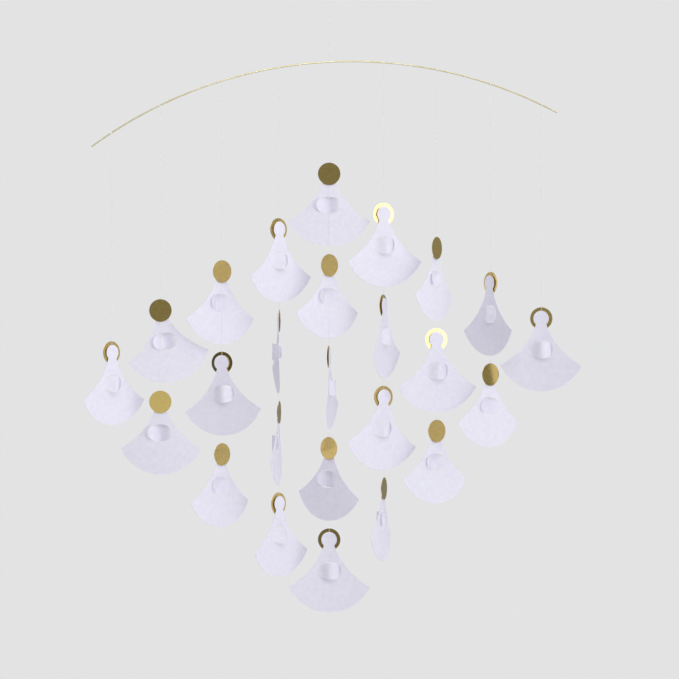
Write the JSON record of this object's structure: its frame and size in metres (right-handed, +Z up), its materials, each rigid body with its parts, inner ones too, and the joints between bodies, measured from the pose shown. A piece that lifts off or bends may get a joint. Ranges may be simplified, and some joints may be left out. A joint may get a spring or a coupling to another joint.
{
  "type": "hanging mobile",
  "caption": "Hanging mobile: card angels with curled arms and round gold halos hang in a diamond of columns on fine threads from a bent brass wire.",
  "frame": {"origin": "where a hook bears inside the hanging loop, the highest point that holds the mobile up", "axes": "+Z up along the hanging thread, +X to the right along the bow, -Y to the front, from where the bow is seen at its full width"},
  "size_m": [0.5731, 0.0942, 0.7326],
  "materials": {
    "card": "matt white card",
    "gold_foil": "card faced with mirror-bright gold foil",
    "wire": "bright drawn wire, pale yellow",
    "thread": "fine white thread"
  },
  "bodies": {
    "root": {"bow": "wire", "hanging_thread": "thread", "thread_a": "thread", "thread_b": "thread", "thread_c": "thread", "thread_d": "thread", "thread_f": "thread", "thread_g": "thread", "thread_h": "thread", "thread_i": "thread", "angel_a1": "card", "halo_a1": "gold_foil", "angel_b1": "card", "halo_b1": "gold_foil", "angel_b2": "card", "halo_b2": "gold_foil", "angel_c1": "card", "halo_c1": "gold_foil", "angel_c2": "card", "halo_c2": "gold_foil", "angel_c3": "card", "halo_c3": "gold_foil", "angel_d1": "card", "halo_d1": "gold_foil", "angel_d2": "card", "halo_d2": "gold_foil", "angel_d3": "card", "halo_d3": "gold_foil", "angel_d4": "card", "halo_d4": "gold_foil", "angel_e1": "card", "halo_e1": "gold_foil", "angel_e2": "card", "halo_e2": "gold_foil", "angel_e3": "card", "halo_e3": "gold_foil", "angel_e4": "card", "halo_e4": "gold_foil", "angel_e5": "card", "halo_e5": "gold_foil", "angel_f1": "card", "halo_f1": "gold_foil", "angel_f2": "card", "halo_f2": "gold_foil", "angel_f3": "card", "halo_f3": "gold_foil", "angel_f4": "card", "halo_f4": "gold_foil", "angel_g1": "card", "halo_g1": "gold_foil", "angel_g2": "card", "halo_g2": "gold_foil", "angel_g3": "card", "halo_g3": "gold_foil", "angel_h1": "card", "halo_h1": "gold_foil", "angel_h2": "card", "halo_h2": "gold_foil", "angel_i1": "card", "halo_i1": "gold_foil"}
  },
  "joints": []
}
